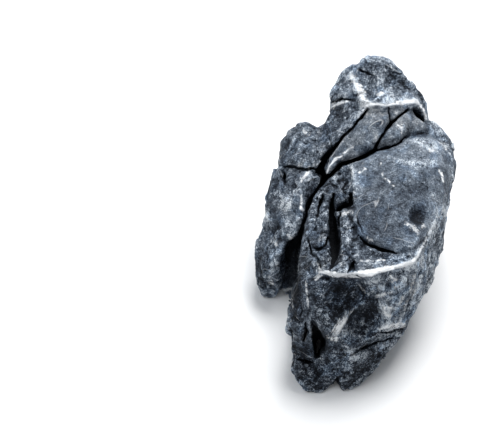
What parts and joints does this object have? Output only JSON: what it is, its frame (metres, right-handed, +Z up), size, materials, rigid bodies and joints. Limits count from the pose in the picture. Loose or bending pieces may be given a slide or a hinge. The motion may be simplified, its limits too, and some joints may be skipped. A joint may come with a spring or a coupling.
{
  "type": "seiryu stone",
  "caption": "Weathered blue-grey limestone rock with a smooth upper slab, deep dark cracks, white calcite veins and a rough head, for landscaping an aquarium.",
  "frame": {"origin": "centre of the bounding box, at the height of the surface that the stone rests on", "axes": "+Z up, +Y from the low front foot towards the high head, +X to the right of a viewer who looks at the show face along +Y"},
  "size_m": [0.1352, 0.2034, 0.1263],
  "materials": {
    "stone": "rough natural stone"
  },
  "bodies": {
    "root": {"stone": "stone"}
  },
  "joints": []
}
